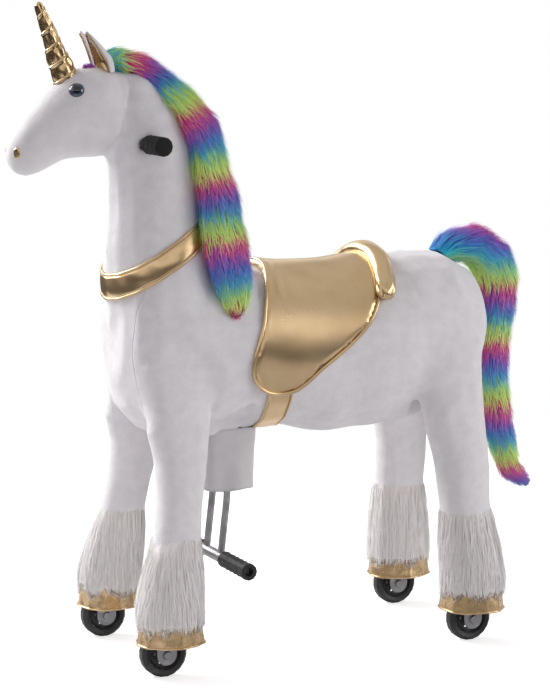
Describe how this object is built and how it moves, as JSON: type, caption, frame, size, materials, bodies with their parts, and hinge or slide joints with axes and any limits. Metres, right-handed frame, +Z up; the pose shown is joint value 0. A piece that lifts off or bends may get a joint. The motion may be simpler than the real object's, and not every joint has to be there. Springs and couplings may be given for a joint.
{
  "type": "ride-on toy",
  "caption": "Plush ride-on animal on a steel frame: its steered front half and rear legs swing on wheeled hooves as the rider bounces, with saddle, hand grips and footrest.",
  "frame": {"origin": "floor level under the middle of the whole toy's bounding box", "axes": "+Z up, -Y the way the head faces, +X the animal's left side"},
  "size_m": [0.3416, 0.8458, 0.9583],
  "materials": {
    "white_plush": "short pile plush",
    "white_fur": "long straight faux fur",
    "gold_foil": "metallic foil leatherette",
    "rainbow_fur": "long faux fur dyed in rainbow bands",
    "black_rubber": "matte",
    "black_foam": "matte foam",
    "hub_plastic": "satin",
    "steel": "zinc plated",
    "dark_steel": "satin dark paint",
    "white_cloth": "plain woven cloth",
    "eye_gloss": "clear gloss"
  },
  "bodies": {
    "chassis": {"main_beam": "dark_steel", "torso_plush": "white_plush", "saddle_seat": "gold_foil", "saddle_cantle": "gold_foil", "girth_strap": "gold_foil", "belly_skirt": "white_cloth", "tail": "rainbow_fur", "hip_spring": "steel"},
    "front_fork": {"steering_column": "dark_steel", "handlebar": "dark_steel", "handle_grip_left": "black_foam", "handle_grip_right": "black_foam", "chest_plush": "white_plush", "neck_plush": "white_plush", "head_plush": "white_plush", "horn": "gold_foil", "ear_left": "white_plush", "ear_right": "white_plush", "eye_left": "eye_gloss", "eye_right": "eye_gloss", "mane": "rainbow_fur", "breast_strap": "gold_foil"},
    "front_legs": {"shoulder_shaft": "steel", "front_left_leg_tube": "dark_steel", "front_left_leg_plush": "white_plush", "front_left_hoof": "gold_foil", "front_left_fur_cuff": "white_fur", "front_left_wheel_fork": "steel", "front_left_axle": "steel", "front_right_leg_tube": "dark_steel", "front_right_leg_plush": "white_plush", "front_right_hoof": "gold_foil", "front_right_fur_cuff": "white_fur", "front_right_wheel_fork": "steel", "front_right_axle": "steel"},
    "rear_legs": {"hip_shaft": "steel", "rear_left_leg_tube": "dark_steel", "rear_left_leg_plush": "white_plush", "rear_left_hoof": "gold_foil", "rear_left_fur_cuff": "white_fur", "rear_left_wheel_fork": "steel", "rear_left_axle": "steel", "rear_right_leg_tube": "dark_steel", "rear_right_leg_plush": "white_plush", "rear_right_hoof": "gold_foil", "rear_right_fur_cuff": "white_fur", "rear_right_wheel_fork": "steel", "rear_right_axle": "steel"},
    "front_left_wheel": {"front_left_tyre": "black_rubber", "front_left_hub": "hub_plastic"},
    "front_right_wheel": {"front_right_tyre": "black_rubber", "front_right_hub": "hub_plastic"},
    "rear_left_wheel": {"rear_left_tyre": "black_rubber", "rear_left_hub": "hub_plastic"},
    "rear_right_wheel": {"rear_right_tyre": "black_rubber", "rear_right_hub": "hub_plastic"},
    "pedals": {"pedal_frame": "steel", "pedal_grip_left": "black_rubber", "pedal_grip_right": "black_rubber"},
    "connecting_rod": {"connecting_rod": "steel"}
  },
  "joints": [
    {"name": "steering", "type": "hinge", "parent": "chassis", "child": "front_fork", "pos_m": [0, -0.225, 0.415], "axis": [0, 0, 1], "range_deg": [-20, 20]},
    {"name": "front_swing", "type": "hinge", "parent": "front_fork", "child": "front_legs", "pos_m": [0, -0.207, 0.415], "axis": [-1, 0, 0], "range_deg": [0, 14], "stiffness_Nm_per_rad": 40, "springref_deg": -8.59},
    {"name": "rear_swing", "type": "hinge", "parent": "chassis", "child": "rear_legs", "pos_m": [0, 0.235, 0.44], "axis": [1, 0, 0], "range_deg": [0, 14]},
    {"name": "pedal_swing", "type": "hinge", "parent": "chassis", "child": "pedals", "pos_m": [0, -0.095, 0.4468], "axis": [-1, 0, 0], "range_deg": [0, 5]},
    {"name": "rod_travel", "type": "slide", "parent": "chassis", "child": "connecting_rod", "axis": [0, 1, 0], "range_m": [-0.0086, 0]},
    {"name": "front_left_roll", "type": "hinge", "parent": "front_legs", "child": "front_left_wheel", "pos_m": [0.123, -0.246, 0.034], "axis": [1, 0, 0], "continuous": true},
    {"name": "front_right_roll", "type": "hinge", "parent": "front_legs", "child": "front_right_wheel", "pos_m": [-0.123, -0.246, 0.034], "axis": [1, 0, 0], "continuous": true},
    {"name": "rear_left_roll", "type": "hinge", "parent": "rear_legs", "child": "rear_left_wheel", "pos_m": [0.123, 0.25, 0.034], "axis": [1, 0, 0], "continuous": true},
    {"name": "rear_right_roll", "type": "hinge", "parent": "rear_legs", "child": "rear_right_wheel", "pos_m": [-0.123, 0.25, 0.034], "axis": [1, 0, 0], "continuous": true}
  ],
  "couplings": [
    {"joint": "rear_swing", "follows": "front_swing", "ratio": 1},
    {"joint": "pedal_swing", "follows": "front_swing", "ratio": 0.357},
    {"joint": "rod_travel", "follows": "front_swing", "m_per_rad": -0.035}
  ]
}
